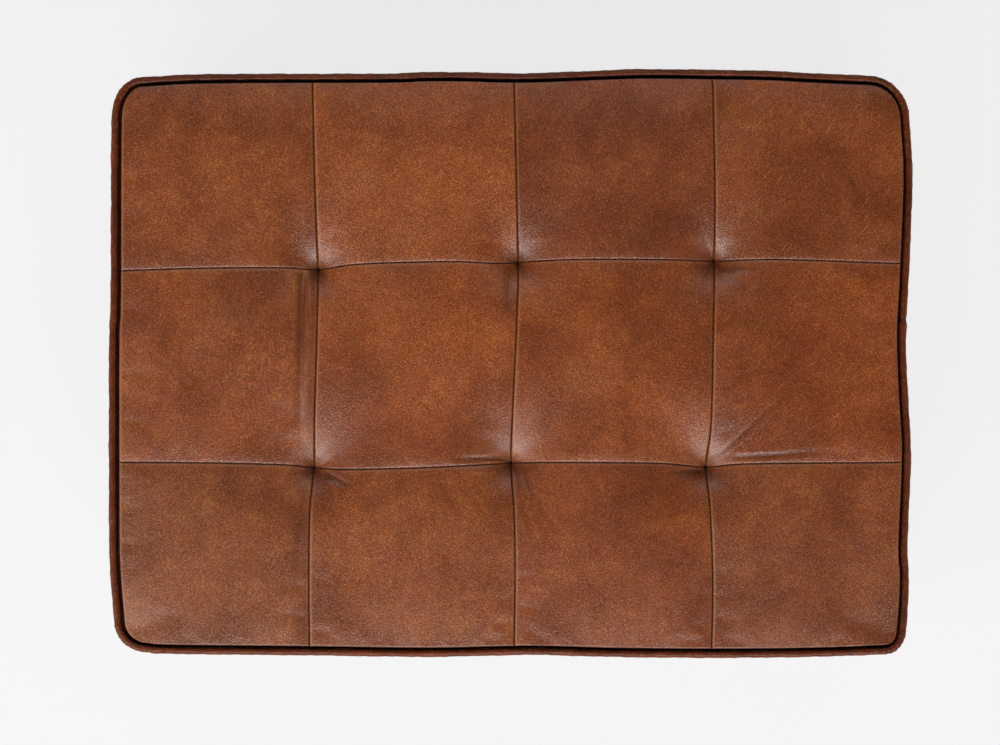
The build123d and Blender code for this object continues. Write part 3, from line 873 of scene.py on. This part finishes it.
def turned_edges(grid, along_u, along_v):
    """Draw the border in from the seam line and turn it down; also each point's distance to the left,
    right, back and front border."""
    distances = np.stack(np.broadcast_arrays(along_u[:, None], (along_u[-1] - along_u)[:, None],
                                             along_v[None], (along_v[-1] - along_v)[None]))
    rolls = np.reshape(ROLLS, (4, 1, 1))
    inside = np.clip(rolls - distances, 0, rolls)
    drop = (rolls - np.sqrt(np.maximum(rolls ** 2 - inside ** 2, 0))).max(axis=0)
    grid = grid.copy()
    grid[..., 2] -= drop
    pull = SEAM_HALF_GAP * fade(distances, SEAM_PULL_SOFT)
    across_u = grid[-1:, :, :2] - grid[:1, :, :2]
    across_v = grid[:, -1:, :2] - grid[:, :1, :2]
    across_u = across_u / np.linalg.norm(across_u, axis=2, keepdims=True)
    across_v = across_v / np.linalg.norm(across_v, axis=2, keepdims=True)
    grid[..., :2] += (pull[0] - pull[1])[..., None] * across_u + (pull[2] - pull[3])[..., None] * across_v
    return grid, distances


# ---- pieces: the welt ----
def make_welt():
    """The welt's gathered sleeve, thicker where its two ends lap, the flange inside it, and its cord."""
    count = len(WELT_LOOP)
    around = WELT_SIDES
    centre = inward_offset(WELT_LOOP, WELT_RADIUS)
    ahead = np.roll(centre, -1, axis=0) - np.roll(centre, 1, axis=0)
    ahead /= np.linalg.norm(ahead, axis=1)[:, None]
    outward = np.stack([-ahead[:, 1], ahead[:, 0]], axis=1)
    along = np.arange(count) / count
    draw = rng(3)
    ripple = sum(amount * np.sin(2 * np.pi * (turns * along + draw.uniform()))
                 for turns, amount in WELT_RIPPLES)
    bend = np.linalg.norm(np.roll(outward, -6, axis=0) - np.roll(outward, 6, axis=0), axis=1)
    bend = np.clip(bend / bend.max(), 0, 1)
    gathers = 0.30 * bend * np.sin(2 * np.pi * CORNER_GATHERS * along)
    lap = nearest(WELT_LOOP, LAP)
    distance = (np.arange(count) - lap) * lengths(WELT_LOOP)[-1] / count
    lap_bulge = 0.55 * bell(distance - 0.004, 0.0035)
    lap_bulge = lap_bulge - 0.5 * bell(distance + 0.003, 0.0016)
    radius = WELT_RADIUS - 0.0002 + (ripple + gathers + lap_bulge) * MM
    theta = np.linspace(0, 2 * np.pi, around, endpoint=False)
    twist = 0.12 * np.sin(2 * np.pi * 61 * along)[:, None] * MM
    r = radius[:, None] + twist * np.cos(3 * theta[None] + 40 * np.pi * along[:, None])
    welt = mesh_object("top_welt", *ring_tube(centre, outward, theta, r))
    # painted shade along the welt's inner side by the groove; the random dark specks are partly mottling of
    # the leather, partly painted shade of its small gathers
    seam = bell(np.cos(theta) + 1, 0.14)[None] * np.ones((count, 1))
    specks = draw.uniform(0, 0.85, (count, around)) ** 1.6
    mark(welt, "shade", np.maximum(0.8 * seam, specks))
    # painted highlight along the welt's outer upper side, partly rubbed leather
    mark(welt, "highlight_and_rub", bell(theta - np.pi / 4, 0.45)[None] * (0.25 + ripple[:, None]))
    material = leather("leather_welt", WELT_TONE, 40, mottle=1.0, shine=0.16)
    finish_piece(welt, material)
    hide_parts("top_welt_sleeve")
    outer = inward_offset(WELT_LOOP, 2 * WELT_RADIUS - 0.0020)
    inner = inward_offset(WELT_LOOP, 2 * WELT_RADIUS + GROOVE + 0.0003)
    top, foot = FLANGE_DEPTHS
    corners = [np.column_stack([line, np.full(count, WELT_Z - depth)])
               for line, depth in ((outer, top), (inner, top), (inner, foot), (outer, foot))]
    faces = ring_faces(np.arange(4 * count).reshape(4, count).T)
    flange = mesh_object("top_welt_flange", np.concatenate(corners), faces, smooth=False)
    # painted shade: the whole flange is painted near-black, standing for the shade deep in the groove
    mark(flange, "shade", np.ones(4 * count))
    finish_piece(flange, material)
    strands = 0.00022 * np.cos(3 * theta[None] + 2 * np.pi * 330 * along[:, None])
    cord = mesh_object("top_welt_core", *ring_tube(centre, outward, theta, 0.0021 + strands))
    finish_piece(cord, MATERIALS["cotton_cord"])
    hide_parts("top_welt_cord")


def ring_tube(centre, outward, theta, radius):
    """A closed ring of tube round the welt's line, with a radius for each section and angle."""
    count, around = radius.shape
    flat = centre[:, None, :] + outward[:, None, :] * (radius * np.cos(theta))[..., None]
    z = WELT_Z + radius * np.sin(theta)
    grid = np.concatenate([flat, z[..., None]], axis=2)
    return grid.reshape(-1, 3), ring_faces(np.arange(count * around).reshape(count, around))


def ring_faces(index):
    """Faces between the vertices of a grid that closes on itself both ways."""
    beside = np.roll(index, -1, axis=1)
    faces = np.stack([index, beside, np.roll(beside, -1, axis=0), np.roll(index, -1, axis=0)], axis=-1)
    return faces.reshape(-1, 4).tolist()


# ---- pieces: stitching ----
def seam_line_height(line, ends):
    """Height of the leather on a top seam between two named sides, before its edges are turned down."""
    along = lengths(line)
    drop = EDGE_DROPS[ends[0]] * fade(along, EDGE_SOFT)
    drop = drop + EDGE_DROPS[ends[1]] * fade(along[-1] - along, EDGE_SOFT)
    return ground(line[:, 0], line[:, 1]) - SEAM_DIP - drop


def make_top_stitches():
    draw = rng(5)
    parts = []
    for line in ROW_CURVES + COLUMN_CURVES:
        ends = ("left", "right") if len(parts) < len(ROW_CURVES) else ("back", "front")
        total = lengths(line)[-1]
        line = resampled(line, np.arange(0.006, total - 0.006, STITCH_PITCH) / total)
        ahead = np.gradient(line, axis=0)
        ahead /= np.linalg.norm(ahead, axis=1)[:, None]
        slant = draw.normal(0, 0.12, len(line))
        across = np.stack([-ahead[:, 1] + slant * ahead[:, 0], ahead[:, 0] + slant * ahead[:, 1],
                           0 * slant], axis=1)
        across /= np.linalg.norm(across, axis=1)[:, None]
        z = seam_line_height(line, ends) - 0.0006
        up = np.tile((0.0, 0.0, 1.0), (len(line), 1))
        parts.append(bars(np.column_stack([line, z]), across, up))
    thread = mesh_object("top_seam_thread", *merged(parts))
    finish_piece(thread, MATERIALS["twine"])


def bars(centres, across, up):
    """Short round-ended bars of thread, one at each centre, lying along across."""
    along, size = np.array(BAR_PROFILE).T[..., None]
    return merged([tube(centre + THREAD_HALF_LENGTH * along * way, THREAD_RADIUS * size[..., None], guide)
                   for centre, way, guide in zip(centres, across, up)])


def tube(path, radius, guide=None):
    """A round tube with flat ends along a path, with one radius or one for each point."""
    ahead = np.gradient(path, axis=0)
    ahead /= np.linalg.norm(ahead, axis=1)[:, None]
    if guide is None:
        guide = np.where(np.abs(ahead[:, 2:]) < 0.9, (0.0, 0.0, 1.0), (1.0, 0.0, 0.0))
    side = np.cross(ahead, guide)
    side /= np.linalg.norm(side, axis=1)[:, None]
    rise = np.cross(side, ahead)
    ring = np.linspace(0, 2 * np.pi, TUBE_SIDES, endpoint=False)
    rows = (path[:, None] + radius * (np.cos(ring)[None, :, None] * side[:, None]
                                      + np.sin(ring)[None, :, None] * rise[:, None]))
    index = np.arange(len(path) * TUBE_SIDES).reshape(len(path), TUBE_SIDES)
    shifted = np.roll(index, -1, axis=1)
    faces = np.stack([index[:-1], shifted[:-1], shifted[1:], index[1:]], axis=-1).reshape(-1, 4).tolist()
    return rows.reshape(-1, 3), faces + [index[0][::-1].tolist(), index[-1].tolist()]


# ---- pieces: tufting twine ----
def make_twines():
    """Three-ply twine from under each crossing down to a knot below its toggle."""
    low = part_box("tuft_twines")[0].z
    parts = []
    for x, y in np.array(TUFTS, float).reshape(-1, 2) * MM:
        top = float(ground(np.array([x]), np.array([y]))[0]) - SEAM_DIP - max(ROLLS) - LEATHER_T
        z = np.arange(low + KNOT_HEIGHT / 2, top, 0.0013)
        for ply in range(3):
            angle = 2 * np.pi * (z / TWIST_PITCH + ply / 3)
            path = np.column_stack([x + PLY_RADIUS * np.cos(angle), y + PLY_RADIUS * np.sin(angle), z])
            parts.append(tube(path, 0.96 * PLY_RADIUS))
        turn = np.linspace(0, 4.2 * np.pi, 48)
        parts.append(tube(np.column_stack([x + 2.1 * MM * np.cos(turn), y + 2.1 * MM * np.sin(turn),
                                           low + 0.0008 + (KNOT_HEIGHT - 0.0016) * turn / turn[-1]]), 0.0008))
    twines = mesh_object("tuft_twine", *merged(parts))
    finish_piece(twines, MATERIALS["twine"])
    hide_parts("tuft_twines")


# ---- pieces: side panels ----
def skin_frame(points, inset):
    """Plan points of the side skin at an inset from its outer face, and the outward direction there."""
    half = np.array([SKIN_X - inset, SKIN_Y - inset])
    radius = max(SKIN_R - inset, 0.004)
    core = np.clip(points, -(half - radius), half - radius)
    away = points - core
    away /= np.linalg.norm(away, axis=1)[:, None]
    return core + radius * away, away


def side_profile():
    """Stations down the side: fraction of the drop at the top, then round the bottom edge and under it."""
    drop = SKIN_TOP - SKIN_BOTTOM - BOTTOM_ROLL
    fine = np.array((0, 0.3, 0.7, 1.2, 2.0, 3.0, 4.5, 6.5, 9.0, 12.0)) * MM
    down = np.concatenate([fine, np.linspace(0.012, drop, 60)[1:]])
    stations = [(0.0, SKIN_TOP - step) for step in down]
    stations += [(BOTTOM_ROLL * (1 - math.cos(a)), SKIN_BOTTOM + BOTTOM_ROLL * (1 - math.sin(a)))
                 for a in np.linspace(0, np.pi / 2, 9)[1:]]
    stations += [(inset, SKIN_BOTTOM) for inset in np.linspace(BOTTOM_ROLL, FLANGE, 9)[1:]]
    while (len(stations) - 1) % COARSE:
        inset, z = stations[-1]
        stations.append((inset + 0.0015, z))
    return np.array(stations)


def corner_index(side_x, side_y):
    return int(np.argmax(WELT_LOOP @ np.array((side_x, side_y))))


def make_side_panels():
    corners = [corner_index(-1, 1), corner_index(1, 1), corner_index(1, -1), corner_index(-1, -1)]
    profile = side_profile()
    stitch_parts = []
    for side, name in enumerate(("back", "right", "front", "left")):
        first = corners[side]
        run = np.roll(WELT_LOOP, -first, axis=0)
        last = (corners[(side + 1) % 4] - first) % len(WELT_LOOP)
        run = run[:last + 1]
        length = lengths(run)[-1]
        u = fine_ends(length, SIDE_STEP, SQUARE_ENDS)
        line = resampled(run, u)
        grid = np.zeros((len(u), len(profile), 3))
        outward = np.zeros((len(u), len(profile), 2))
        for station, (inset, z) in enumerate(profile):
            plan, away = skin_frame(line, inset)
            near_welt = bell(SKIN_TOP - z, 0.011)
            under_welt = line - away * 0.0042
            grid[:, station, :2] = plan + near_welt * (under_welt - plan)
            grid[:, station, 2] = z
            outward[:, station] = away
        swell, dent = side_relief(side, u * length, length, profile)
        tuck = turned_in(u * length)[:, None]
        lift = swell - tuck
        vertical = (profile[:, 0] < BOTTOM_ROLL)[None]
        grid[..., :2] += outward * np.where(vertical, lift, 0)[..., None]
        grid[..., 2] += np.where(vertical, 0, dent + np.minimum(tuck, 0.001))
        normal = np.concatenate([outward, np.zeros_like(outward[..., :1])], axis=2)
        tilt = np.clip(profile[:, 0] / BOTTOM_ROLL, 0, 1)[None, :, None]
        normal = normal * (1 - tilt) + np.array((0, 0, -1.0)) * tilt
        normal /= np.linalg.norm(normal, axis=2, keepdims=True)
        panel = mesh_object(f"{name}_side_leather", *closed_form(grid, grid - normal * LEATHER_T))
        border = np.minimum(u, 1 - u)[:, None] * length * np.ones(len(profile))
        # painted shade: a dark line along each corner seam
        mark(panel, "shade", fade(border, 0.0008))
        # painted highlight: a pale rim beside each corner seam, partly rubbed leather
        mark(panel, "highlight_and_rub", 0.5 * bell(border - 0.003, 0.0015))
        mark(panel, "wear_and_shade", 0.75 * (1 - fade(border, 0.040)))
        material = leather(f"leather_{name}_side", SIDE_TONES[side], 20 + side, mottle=0.6)
        finish_piece(panel, material)
        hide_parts(f"{name}_leather_panel")
        stitch_parts.append(corner_stitches(grid, profile))
    thread = mesh_object("corner_seam_thread", *merged(stitch_parts))
    finish_piece(thread, MATERIALS["twine"])


def turned_in(along):
    """How far a panel's two ends turn in towards the corner seams."""
    inside = np.clip(CORNER_ROLL - np.minimum(along, along[-1] - along), 0, CORNER_ROLL)
    return CORNER_ROLL - np.sqrt(CORNER_ROLL ** 2 - inside ** 2)


def side_relief(side, along, length, profile):
    """Swell of the padded side with its ripples, and how far the flange under the box puckers."""
    draw = rng(10 + side)
    z = profile[None, :, 1]
    s = along[:, None]
    height = SKIN_TOP - SKIN_BOTTOM
    down = (SKIN_TOP - z) / height
    calm = np.sin(np.pi * np.clip(down, 0, 1)) ** 0.6 * np.sin(np.pi * np.clip(s / length, 0, 1)) ** 0.35
    swell = SIDE_SWELL * calm
    for _ in range(7):
        turns_s = draw.uniform(1.0, 7.0)
        turns_z = draw.uniform(0.3, 2.2)
        phase = draw.uniform(0, 2 * np.pi)
        wave = np.sin(2 * np.pi * (turns_s * s / length + turns_z * down) + phase)
        swell = swell + SIDE_WAVE * calm * wave / math.sqrt(turns_s)
    for turns in draw.uniform(16, 46, 5):
        ripple = np.sin(2 * np.pi * turns * s / length + draw.uniform(0, 6))
        gate = np.clip(np.sin(2 * np.pi * draw.uniform(1, 4) * s / length + draw.uniform(0, 6)), 0, 1)
        below_welt = fade(SKIN_TOP - z, 0.022) * (1 - fade(SKIN_TOP - z, 0.004))
        above_floor = fade(z - SKIN_BOTTOM, 0.030)
        swell = swell + ripple * gate * (TOP_RIPPLE * below_welt + BOTTOM_RIPPLE * above_floor)
    corner = fade(np.minimum(s, length - s), 0.03)
    dent = -0.0002 * (1 + np.sin(s / 0.0030)) * corner * np.ones_like(z)
    return swell, dent


def corner_stitches(grid, profile):
    """Thread across a panel's first edge, where it meets its neighbour."""
    line = grid[0, profile[:, 0] < BOTTOM_ROLL]
    total = lengths(line)[-1]
    line = resampled(line, np.arange(0.006, total - 0.004, STITCH_PITCH) / total)
    corner = np.sign(line[0, :2]) / math.sqrt(2)
    away = np.column_stack([np.tile(corner, (len(line), 1)), 0 * line[:, 2]])
    across = np.column_stack([-away[:, 1], away[:, 0], 0 * line[:, 2]])
    return bars(line + away * 0.0010, across, away)


# ---- pieces: underside ----
def make_dust_cover():
    """Black non-woven cloth, stapled tight under the frame and slack in the middle."""
    low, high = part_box("dust_cover")
    cells = 96
    x = np.linspace(low.x, high.x, cells + 1)[:, None]
    y = np.linspace(low.y, high.y, cells + 1)[None]
    edge = np.minimum(np.minimum(x - low.x, high.x - x), np.minimum(y - low.y, high.y - y))
    slack = 1 - bell(np.clip(edge - DUST_HELD, 0, None), DUST_SOFT)
    ripple = np.sin(x * 31 + 2.0 * np.sin(y * 17)) * np.sin(y * 43 + np.sin(x * 11))
    puckers = fade(edge, 0.012) * np.sin((x + y) * 2 * np.pi / STAPLE_SPACING) * 0.00012
    z = low.z - slack * (DUST_SLACK + 0.0006 * ripple) + puckers * (edge > 0.004)
    grid = np.stack(np.broadcast_arrays(x, y, z), axis=2)
    under = grid.copy()
    under[..., 2] += high.z - low.z - 0.00015
    sheet = mesh_object("dust_cover_cloth", *closed_form(under, grid, grid, coarse=1))
    finish_piece(sheet, MATERIALS["dust_cloth"])
    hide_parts("dust_cover")


# ---- materials of the frame and the fillings ----
def wood(name, pale, dark, ring=9.0, grain=260.0):
    shader = Shader(name, Specular_IOR_Level=0.3)
    along = shader.place(scale=(0.35, 1.0, 1.0))
    band = shader.noise(along, ring, detail=3.0, distortion=1.5)
    streak = shader.noise(shader.place(scale=(0.04, 1.0, 1.0)), grain, detail=3.0)
    mix = shader.math("ADD", shader.math("MULTIPLY", band, 0.6), shader.math("MULTIPLY", streak, 0.4))
    shader.colour(shader.blend(shader.remap(mix, 0.38, 0.62), pale, dark))
    shader.rough(shader.remap(streak, 0.3, 0.7, 0.55, 0.75))
    shader.relief(shader.bump(streak, 0.25, 0.0003))
    return shader.material


def plywood(name):
    shader = Shader(name, Specular_IOR_Level=0.3, Roughness=0.65)
    layer = shader.add("ShaderNodeTexWave", {"Vector": shader.place(), "Scale": 70.0, "Distortion": 0.4},
                       output="Fac", bands_direction="Z")
    grain = shader.noise(shader.place(scale=(0.05, 1, 1)), 240.0, detail=3.0)
    base = shader.blend(shader.remap(grain, 0.35, 0.65), (0.66, 0.46, 0.27), (0.54, 0.35, 0.19))
    shader.colour(shader.blend(shader.remap(layer, 0.35, 0.65, 0.0, 0.35), base, (0.30, 0.18, 0.10)))
    shader.relief(shader.bump(grain, 0.2, 0.0003))
    return shader.material


def foam(name, pale, deep):
    shader = Shader(name, Specular_IOR_Level=0.2, Roughness=0.9)
    pores = shader.cells(shader.place(), 700.0)
    shader.colour(shader.blend(shader.remap(pores, 0.1, 0.6), deep, pale))
    shader.relief(shader.bump(pores, 0.6, 0.0006))
    return shader.material


def twisted_thread(name, dark, light):
    shader = Shader(name, Specular_IOR_Level=0.35, Roughness=0.6)
    ply = shader.add("ShaderNodeTexWave", {"Vector": shader.place(turn=(0, 0, 38)), "Scale": 900.0,
                                           "Distortion": 1.5}, output="Fac")
    shader.colour(shader.blend(shader.remap(ply, 0.2, 0.8), dark, light))
    shader.relief(shader.bump(ply, 0.5, 0.0002))
    return shader.material


def non_woven(name):
    shader = Shader(name, Specular_IOR_Level=0.2, Roughness=0.85)
    dots = shader.cells(shader.place(turn=(0, 0, 45)), 420.0, randomness=0.1)
    fibre = shader.noise(shader.place(), 900.0, detail=4.0, distortion=2.0)
    base = shader.blend(shader.remap(fibre, 0.3, 0.7), (0.010, 0.010, 0.011), (0.030, 0.030, 0.032))
    shader.colour(shader.blend(shader.remap(dots, 0.12, 0.05, 0.0, 0.6), base, (0.006, 0.006, 0.007)))
    shader.relief(shader.bump(shader.math("ADD", dots, shader.math("MULTIPLY", fibre, 0.4)), 0.5, 0.0005))
    return shader.material


def worn_metal(name, colour, rough):
    shader = Shader(name, Metallic=1.0)
    scuff = shader.noise(shader.place(scale=(1, 1, 0.2)), 1500.0, detail=4.0)
    shader.colour(shader.blend(shader.remap(scuff, 0.35, 0.7), colour, tinted(colour, (0.62, 0.62, 0.64))))
    shader.rough(shader.remap(scuff, 0.3, 0.7, rough - 0.08, rough + 0.12))
    shader.relief(shader.bump(scuff, 0.15, 0.0001))
    return shader.material


def moulded_plastic(name):
    shader = Shader(name, Specular_IOR_Level=0.4)
    texture = shader.noise(shader.place(), 1700.0, detail=3.0)
    scuff = shader.noise(shader.place(scale=(1, 0.3, 1)), 160.0, detail=4.0)
    shader.colour(shader.blend(shader.remap(scuff, 0.45, 0.75), (0.020, 0.018, 0.016), (0.055, 0.050, 0.046)))
    shader.rough(shader.remap(scuff, 0.3, 0.7, 0.42, 0.60))
    shader.relief(shader.bump(texture, 0.25, 0.0002))
    return shader.material


MATERIALS = {
    "cotton_cord": twisted_thread("cotton_cord", (0.50, 0.45, 0.36), (0.78, 0.73, 0.62)),
    "wadding": plain_noise_material("wadding", (0.66, 0.66, 0.63), (0.90, 0.90, 0.88), 420.0,
                                    rough=(0.85, 0.95), bump=(0.7, 0.0012), Specular_IOR_Level=0.1),
    "foam": foam("foam", (0.82, 0.71, 0.40), (0.52, 0.40, 0.18)),
    "hardboard": plain_noise_material("hardboard", (0.13, 0.065, 0.032), (0.21, 0.115, 0.060), 700.0,
                                      Specular_IOR_Level=0.3),
    "rail_wood": wood("rail_wood", (0.62, 0.42, 0.22), (0.44, 0.27, 0.12)),
    "toggle_wood": wood("toggle_wood", (0.55, 0.36, 0.19), (0.42, 0.25, 0.12), ring=40.0, grain=700.0),
    "plywood": plywood("plywood"),
    "twine": twisted_thread("twine", (0.045, 0.020, 0.010), (0.16, 0.075, 0.036)),
    "dust_cloth": non_woven("dust_cloth"),
    "glide_plastic": moulded_plastic("glide_plastic"),
    "screw_steel": worn_metal("screw_steel", (0.62, 0.58, 0.48), 0.34),
    "staple_steel": worn_metal("staple_steel", (0.60, 0.60, 0.61), 0.30),
}
SLOTS = {part["node"]: part["material_slot"] for part in frame["record"]["subparts"]}


def dress_frame():
    """Give each CAD node that stays its own material."""
    for name, node in frame["nodes"].items():
        if SLOTS[name] in MATERIALS:
            node.data.materials.clear()
            node.data.materials.append(MATERIALS[SLOTS[name]])


# ---- stage ----
def make_stage():
    corners = [(x * FLOOR_HALF, y * FLOOR_HALF, 0) for x, y in ((-1, -1), (1, -1), (1, 1), (-1, 1))]
    floor = mesh_object("floor", corners, [[0, 1, 2, 3]], smooth=False)
    shader = Shader("pale_floor", Specular_IOR_Level=0.1, Roughness=0.9, Emission_Strength=0.79)
    shader.surface.inputs["Emission Color"].default_value = (1.0, 1.0, 1.0, 1.0)
    grain = shader.noise(shader.place(), 3.0)
    shader.colour(shader.blend(grain, (0.095, 0.095, 0.095), (0.105, 0.105, 0.105)))
    floor.data.materials.append(shader.material)
    make_world()
    for light in LIGHTS:
        softbox(*light)


def make_world():
    """A pale band at the horizon under a dim ceiling."""
    world = bpy.data.worlds.new("studio")
    world.use_nodes = True
    tree = world.node_tree
    direction = tree.nodes.new("ShaderNodeTexCoord").outputs["Generated"]
    split = tree.nodes.new("ShaderNodeSeparateXYZ")
    tree.links.new(direction, split.inputs[0])
    sky = tree.nodes.new("ShaderNodeMapRange")
    sky.interpolation_type = "SMOOTHSTEP"
    for socket, value in (("From Min", HORIZON_BAND), ("From Max", 2.4 * HORIZON_BAND),
                          ("To Min", HORIZON_LEVEL), ("To Max", CEILING_LEVEL)):
        sky.inputs[socket].default_value = value
    tree.links.new(split.outputs["Z"], sky.inputs["Value"])
    background = tree.nodes["Background"]
    background.inputs["Color"].default_value = (1.0, 1.0, 1.0, 1.0)
    tree.links.new(sky.outputs[0], background.inputs["Strength"])
    bpy.context.scene.world = world


def softbox(name, place, size, power):
    light = bpy.data.lights.new(name, "AREA")
    light.shape = "RECTANGLE"
    light.size, light.size_y = size
    light.energy = power
    obj = bpy.data.objects.new(name, light)
    obj.location = place
    target = np.array([0.0, 0.0, PLATEAU_Z]) - np.array(place)
    obj.rotation_euler = (math.atan2(math.hypot(target[0], target[1]), -target[2]), 0,
                          math.atan2(target[1], target[0]) - math.pi / 2)
    obj.visible_camera = False
    bpy.context.collection.objects.link(obj)


def make_camera():
    camera = bpy.data.cameras.new("camera")
    camera.lens = CAMERA_LENS
    camera.sensor_width = SENSOR
    obj = bpy.data.objects.new("camera", camera)
    obj.location = (*CAMERA_AIM, PLATEAU_Z + VIEW_WIDTH * CAMERA_LENS / SENSOR)
    bpy.context.collection.objects.link(obj)
    bpy.context.scene.camera = obj
    bpy.context.scene.view_settings.view_transform = "Standard"


make_camera()
make_stage()
dress_frame()
make_squares()
make_welt()
make_top_stitches()
make_twines()
make_side_panels()
make_dust_cover()
